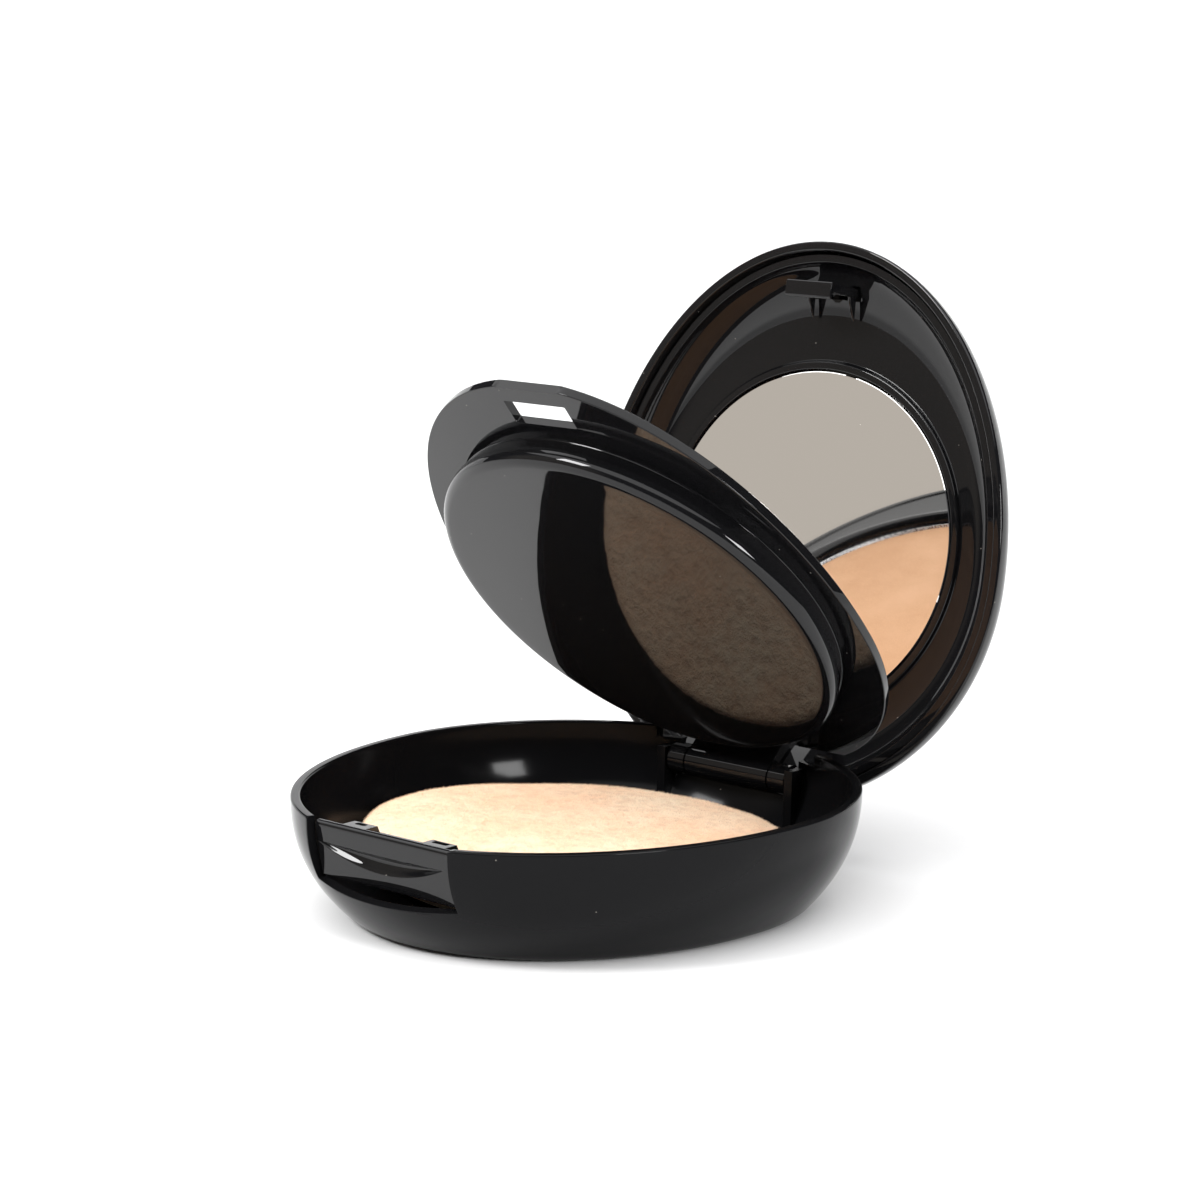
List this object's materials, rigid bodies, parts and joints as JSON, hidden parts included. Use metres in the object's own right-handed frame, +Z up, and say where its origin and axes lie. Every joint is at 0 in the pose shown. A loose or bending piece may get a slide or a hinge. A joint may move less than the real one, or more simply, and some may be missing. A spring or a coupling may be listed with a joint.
{
  "type": "powder compact",
  "caption": "Egg-shaped pocket compact that opens on one hinge: base with a puff, hinged tray with pressed powder, and a lid with a round mirror.",
  "frame": {"origin": "centre of the flat underside of the base, on the surface that the compact stands on", "axes": "+X across the case along the hinge pin, -Y towards the push button, +Y towards the hinge, +Z up"},
  "size_m": [0.0738, 0.1028, 0.0884],
  "materials": {
    "case_black": "polished black",
    "liner_black": "polished black",
    "steel": "bright",
    "puff_velour": "short ivory velour",
    "puff_foam": "soft foam",
    "pan_aluminium": "pressed sheet",
    "powder": "matt pressed powder",
    "mirror": "silvered glass",
    "adhesive": "tacky film"
  },
  "bodies": {
    "base": {"base_shell": "case_black", "base_liner": "liner_black", "button_spring": "steel", "hinge_pin": "steel", "puff_face": "puff_velour", "puff_back": "puff_velour", "puff_core": "puff_foam"},
    "button": {"latch_button": "case_black"},
    "tray": {"tray_plate": "case_black", "tray_cup": "case_black", "pan_adhesive": "adhesive", "powder_pan": "pan_aluminium", "pressed_powder": "powder"},
    "lid": {"lid_shell": "case_black", "lid_lining": "liner_black", "lid_catch": "liner_black", "mirror_glass": "mirror", "mirror_adhesive": "adhesive"}
  },
  "joints": [
    {"name": "button_push", "type": "slide", "parent": "base", "child": "button", "axis": [0, 1, 0], "range_m": [0, 0.001], "stiffness_N_per_m": 600, "springref_m": -0.0005},
    {"name": "tray_hinge", "type": "hinge", "parent": "base", "child": "tray", "pos_m": [0, 0.0372, 0.0121], "axis": [-1, 0, 0], "range_deg": [-47.7, 3]},
    {"name": "lid_hinge", "type": "hinge", "parent": "tray", "child": "lid", "pos_m": [0, 0.0372, 0.0121], "axis": [-1, 0, 0], "range_deg": [-53.4, 3]}
  ]
}
